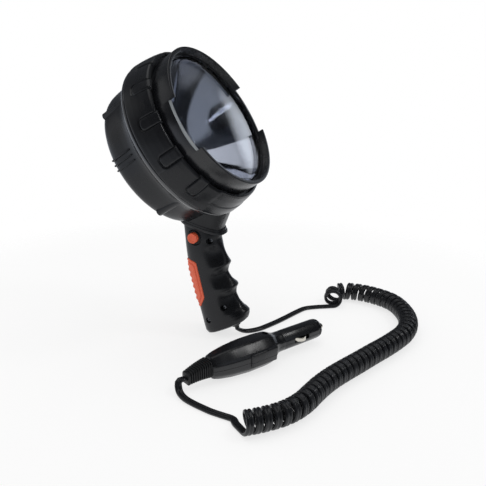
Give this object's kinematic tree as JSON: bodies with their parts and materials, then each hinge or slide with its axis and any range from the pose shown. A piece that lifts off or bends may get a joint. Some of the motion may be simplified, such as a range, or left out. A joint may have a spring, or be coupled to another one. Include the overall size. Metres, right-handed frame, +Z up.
{
  "type": "handheld searchlight",
  "caption": "Handheld searchlight with a round head leaning back on a pistol grip, a push button, a coiled cord and a vehicle power plug.",
  "frame": {"origin": "middle of the grip, where a hand holds the handle", "axes": "+X the way the lamp points over the ground, +Y the lamp's left side, +Z up; the head is symmetric about Y = 0"},
  "size_m": [0.3131, 0.3345, 0.3021],
  "materials": {
    "gloss_black": "glossy moulded ABS",
    "satin_black": "satin moulded ABS",
    "switch_black": "moulded switch case",
    "clear": "clear lens",
    "bulb_glass": "clear quartz",
    "fuse_glass": "clear glass tube with caps",
    "reflector": "polished",
    "steel": "zinc plated",
    "nickel": "nickel plated",
    "black_rubber": "matte",
    "orange_rubber": "soft matte",
    "wire_cover": "insulation",
    "cord": "satin flexible PVC"
  },
  "bodies": {
    "lamp": {"hood_ring": "gloss_black", "lens": "clear", "lens_gasket": "black_rubber", "reflector": "reflector", "bulb_glass": "bulb_glass", "bulb_base": "steel", "bulb_clip": "steel", "front_band": "satin_black", "rear_shell": "satin_black", "shell_screw_1": "steel", "shell_screw_2": "steel", "shell_screw_3": "steel", "shell_screw_4": "steel", "hot_wire": "wire_cover", "earth_wire": "wire_cover", "neck_collar": "satin_black", "handle_right": "satin_black", "handle_left": "satin_black", "grip_insert": "orange_rubber", "button_bezel": "black_rubber", "button_spring": "steel", "switch_body": "switch_black", "handle_screw_1": "steel", "handle_screw_2": "steel", "handle_screw_3": "steel", "cord_grommet": "black_rubber", "plug_upper_shell": "gloss_black", "plug_lower_shell": "gloss_black", "plug_screw": "steel", "plug_tip_ring": "gloss_black", "pin_spring": "steel", "plug_fuse": "fuse_glass", "plug_boot": "black_rubber", "lamp_lead": "cord", "curly_cord": "cord", "plug_lead": "cord"},
    "button": {"push_button": "orange_rubber"},
    "pin": {"plug_pin": "nickel"},
    "contact_left": {"plug_contact_left": "nickel"},
    "contact_right": {"plug_contact_right": "nickel"}
  },
  "joints": [
    {"name": "button_press", "type": "slide", "parent": "lamp", "child": "button", "axis": [0, 1, 0], "range_m": [0, 0.003], "stiffness_N_per_m": 400, "springref_m": -0.001, "deforming": ["button_spring"]},
    {"name": "pin_push", "type": "slide", "parent": "lamp", "child": "pin", "axis": [-0.4695, -0.8829, 0], "range_m": [0, 0.003], "stiffness_N_per_m": 600, "springref_m": -0.001, "deforming": ["pin_spring"]},
    {"name": "contact_left_press", "type": "slide", "parent": "lamp", "child": "contact_left", "axis": [0.8829, -0.4695, 0], "range_m": [0, 0.0015], "stiffness_N_per_m": 800, "springref_m": -0.0005},
    {"name": "contact_right_press", "type": "slide", "parent": "lamp", "child": "contact_right", "axis": [-0.8829, 0.4695, 0], "range_m": [0, 0.0015], "stiffness_N_per_m": 800, "springref_m": -0.0005}
  ]
}
